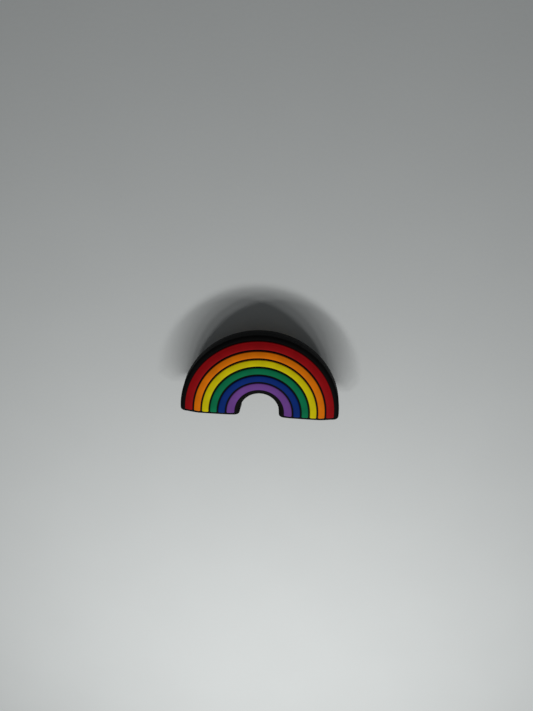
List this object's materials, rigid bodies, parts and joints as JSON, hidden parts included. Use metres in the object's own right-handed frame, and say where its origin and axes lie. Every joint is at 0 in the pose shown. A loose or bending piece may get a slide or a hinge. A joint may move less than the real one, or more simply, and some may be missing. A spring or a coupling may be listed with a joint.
{
  "type": "pin badge",
  "caption": "Rainbow arch pin badge in thick moulded soft PVC, coloured bands on a black body, with a grooved post and a butterfly clutch.",
  "frame": {"origin": "centre of the badge's outline, at the level of the wing tips that it stands on", "axes": "+Z out of the coloured face, +X across the legs, +Y from the legs to the top of the arch"},
  "size_m": [0.032, 0.017, 0.0094],
  "materials": {
    "black_pvc": "matte moulded soft PVC",
    "black_pvc_back": "matte moulded soft PVC, lightly cast surface",
    "purple_pvc": "satin moulded soft PVC",
    "blue_pvc": "satin moulded soft PVC",
    "green_pvc": "satin moulded soft PVC",
    "yellow_pvc": "satin moulded soft PVC",
    "orange_pvc": "satin moulded soft PVC",
    "red_pvc": "satin moulded soft PVC",
    "nickel": "nickel plated, satin",
    "brass": "stamped brass, semi-bright",
    "wing_brass": "stamped brass, semi-bright",
    "spring_steel": "tempered strip"
  },
  "bodies": {
    "badge": {"front_body": "black_pvc", "backing": "black_pvc_back", "purple_band": "purple_pvc", "blue_band": "blue_pvc", "green_band": "green_pvc", "yellow_band": "yellow_pvc", "orange_band": "orange_pvc", "red_band": "red_pvc", "post_flange": "nickel", "post": "nickel"},
    "clutch": {"clutch_plate": "brass", "clutch_cap": "brass", "right_bow_spring": "spring_steel", "left_bow_spring": "spring_steel"},
    "right_wing_body": {"right_wing": "wing_brass"},
    "left_wing_body": {"left_wing": "wing_brass"}
  },
  "joints": [
    {"name": "clutch_slide", "type": "slide", "parent": "badge", "child": "clutch", "axis": [0, 0, -1], "range_m": [0, 0.012]},
    {"name": "right_wing_squeeze", "type": "slide", "parent": "clutch", "child": "right_wing_body", "axis": [-1, 0, 0], "range_m": [0, 0.0006], "stiffness_N_per_m": 1000, "deforming": ["right_bow_spring", "left_bow_spring"]},
    {"name": "left_wing_squeeze", "type": "slide", "parent": "clutch", "child": "left_wing_body", "axis": [1, 0, 0], "range_m": [0, 0.0006], "stiffness_N_per_m": 1000}
  ],
  "couplings": [
    {"joint": "left_wing_squeeze", "follows": "right_wing_squeeze", "ratio": 1}
  ]
}
